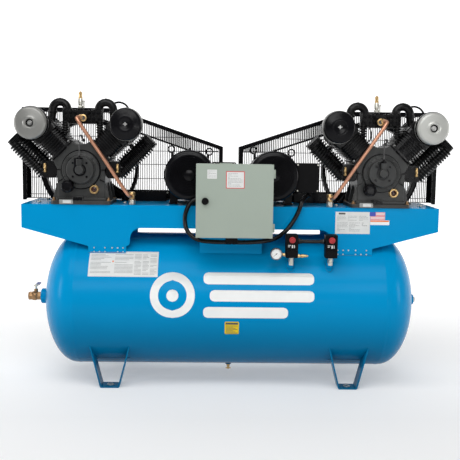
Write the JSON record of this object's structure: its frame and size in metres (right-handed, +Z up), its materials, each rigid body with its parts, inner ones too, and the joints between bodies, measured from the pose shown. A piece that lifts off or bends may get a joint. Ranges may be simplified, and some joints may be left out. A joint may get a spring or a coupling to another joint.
{
  "type": "air compressor",
  "caption": "Twin stack air compressor: belt-driven V pumps and motors behind wire guards on a blue deck over a horizontal air receiver on strap feet, with a hinged starter enclosure.",
  "frame": {"origin": "centre of the whole object's bounding box, on the floor", "axes": "+Z up, +X to the right along the receiver seen from the control side, +Y to the back; the enclosure door faces -Y"},
  "size_m": [1.9748, 0.669, 1.306],
  "materials": {
    "blue_paint": "gloss",
    "grey_enamel": "satin",
    "black_plastic": "matte",
    "zinc_plate": "satin",
    "brass": "satin",
    "blue_lever": "gloss",
    "red_plastic": "gloss",
    "gauge_case": "satin",
    "black_hose": "satin",
    "pump_iron": "satin",
    "bare_steel": "satin",
    "black_enamel": "satin",
    "filter_silver": "satin",
    "copper": "satin",
    "motor_black": "satin",
    "belt_rubber": "matte"
  },
  "bodies": {
    "base": {"air_receiver": "blue_paint", "foot_front_left": "blue_paint", "foot_front_right": "blue_paint", "foot_rear_left": "blue_paint", "foot_rear_right": "blue_paint", "base_frame": "blue_paint", "control_enclosure": "grey_enamel", "starter_panel": "zinc_plate", "ball_valve_body": "brass", "drain_valve_body": "brass", "pressure_switch_left": "black_plastic", "pressure_switch_right": "black_plastic", "pressure_gauge": "gauge_case", "motor_conduits": "black_hose", "left_crankcase": "pump_iron", "left_cylinder_block_outer": "pump_iron", "left_cylinder_block_inner": "pump_iron", "left_cylinder_head_outer": "pump_iron", "left_cylinder_head_inner": "pump_iron", "left_air_filter_outer": "filter_silver", "left_air_filter_inner": "black_enamel", "left_discharge_manifold": "pump_iron", "left_intercooler_outer": "black_enamel", "left_intercooler_inner": "black_enamel", "left_discharge_pipe": "copper", "left_safety_valve": "bare_steel", "left_motor_frame": "motor_black", "left_drive_belts": "belt_rubber", "left_belt_guard": "black_enamel", "left_guard_mesh": "black_enamel", "right_crankcase": "pump_iron", "right_cylinder_block_outer": "pump_iron", "right_cylinder_block_inner": "pump_iron", "right_cylinder_head_outer": "pump_iron", "right_cylinder_head_inner": "pump_iron", "right_air_filter_outer": "filter_silver", "right_air_filter_inner": "black_enamel", "right_discharge_manifold": "pump_iron", "right_intercooler_outer": "black_enamel", "right_intercooler_inner": "black_enamel", "right_discharge_pipe": "copper", "right_safety_valve": "bare_steel", "right_motor_frame": "motor_black", "right_drive_belts": "belt_rubber", "right_belt_guard": "black_enamel", "right_guard_mesh": "black_enamel"},
    "enclosure_door": {"enclosure_door": "grey_enamel"},
    "door_latch": {"door_latch": "black_plastic"},
    "ball_valve_lever": {"ball_valve_lever": "blue_lever"},
    "drain_valve_tee": {"drain_valve_tee": "brass"},
    "switch_knob_left": {"switch_knob_left": "red_plastic"},
    "switch_knob_right": {"switch_knob_right": "red_plastic"},
    "left_crank": {"left_crankshaft": "bare_steel", "left_flywheel": "black_enamel"},
    "left_motor_rotor": {"left_motor_rotor": "bare_steel"},
    "left_safety_valve_lever": {"left_safety_valve_lever": "zinc_plate"},
    "right_crank": {"right_crankshaft": "bare_steel", "right_flywheel": "black_enamel"},
    "right_motor_rotor": {"right_motor_rotor": "bare_steel"},
    "right_safety_valve_lever": {"right_safety_valve_lever": "zinc_plate"}
  },
  "joints": [
    {"name": "left_crank_spin", "type": "hinge", "parent": "base", "child": "left_crank", "pos_m": [-0.66, 0.1265, 0.963], "axis": [0, 1, 0], "continuous": true},
    {"name": "right_crank_spin", "type": "hinge", "parent": "base", "child": "right_crank", "pos_m": [0.66, 0.1265, 0.963], "axis": [0, 1, 0], "continuous": true},
    {"name": "left_motor_spin", "type": "hinge", "parent": "base", "child": "left_motor_rotor", "pos_m": [-0.186, 0.1265, 0.944], "axis": [0, 1, 0], "continuous": true},
    {"name": "right_motor_spin", "type": "hinge", "parent": "base", "child": "right_motor_rotor", "pos_m": [0.186, 0.1265, 0.944], "axis": [0, 1, 0], "continuous": true},
    {"name": "enclosure_door_hinge", "type": "hinge", "parent": "base", "child": "enclosure_door", "pos_m": [0.178, -0.3087, 0.844], "axis": [0, 0, 1], "range_deg": [0, 120]},
    {"name": "door_latch_turn", "type": "hinge", "parent": "enclosure_door", "child": "door_latch", "pos_m": [-0.114, -0.3225, 0.843], "axis": [0, 1, 0], "range_deg": [0, 90]},
    {"name": "ball_valve_turn", "type": "hinge", "parent": "base", "child": "ball_valve_lever", "pos_m": [-0.904, 0.0295, 0.41], "axis": [0, 0, 1], "range_deg": [0, 90]},
    {"name": "drain_valve_turn", "type": "hinge", "parent": "base", "child": "drain_valve_tee", "pos_m": [0, 0.0295, 0.026], "axis": [0, 0, 1], "range_deg": [0, 360]},
    {"name": "switch_knob_left_turn", "type": "hinge", "parent": "base", "child": "switch_knob_left", "pos_m": [0.262, -0.2785, 0.677], "axis": [0, 1, 0], "range_deg": [0, 90]},
    {"name": "switch_knob_right_turn", "type": "hinge", "parent": "base", "child": "switch_knob_right", "pos_m": [0.433, -0.2785, 0.677], "axis": [0, 1, 0], "range_deg": [0, 90]},
    {"name": "left_safety_valve_lift", "type": "hinge", "parent": "base", "child": "left_safety_valve_lever", "pos_m": [-0.6585, -0.0745, 1.263], "axis": [0, -1, 0], "range_deg": [0, 40], "stiffness_Nm_per_rad": 0.2},
    {"name": "right_safety_valve_lift", "type": "hinge", "parent": "base", "child": "right_safety_valve_lever", "pos_m": [0.6615, -0.0745, 1.263], "axis": [0, -1, 0], "range_deg": [0, 40], "stiffness_Nm_per_rad": 0.2}
  ],
  "couplings": [
    {"joint": "left_motor_spin", "follows": "left_crank_spin", "ratio": 2.4565},
    {"joint": "right_motor_spin", "follows": "right_crank_spin", "ratio": 2.4565}
  ]
}
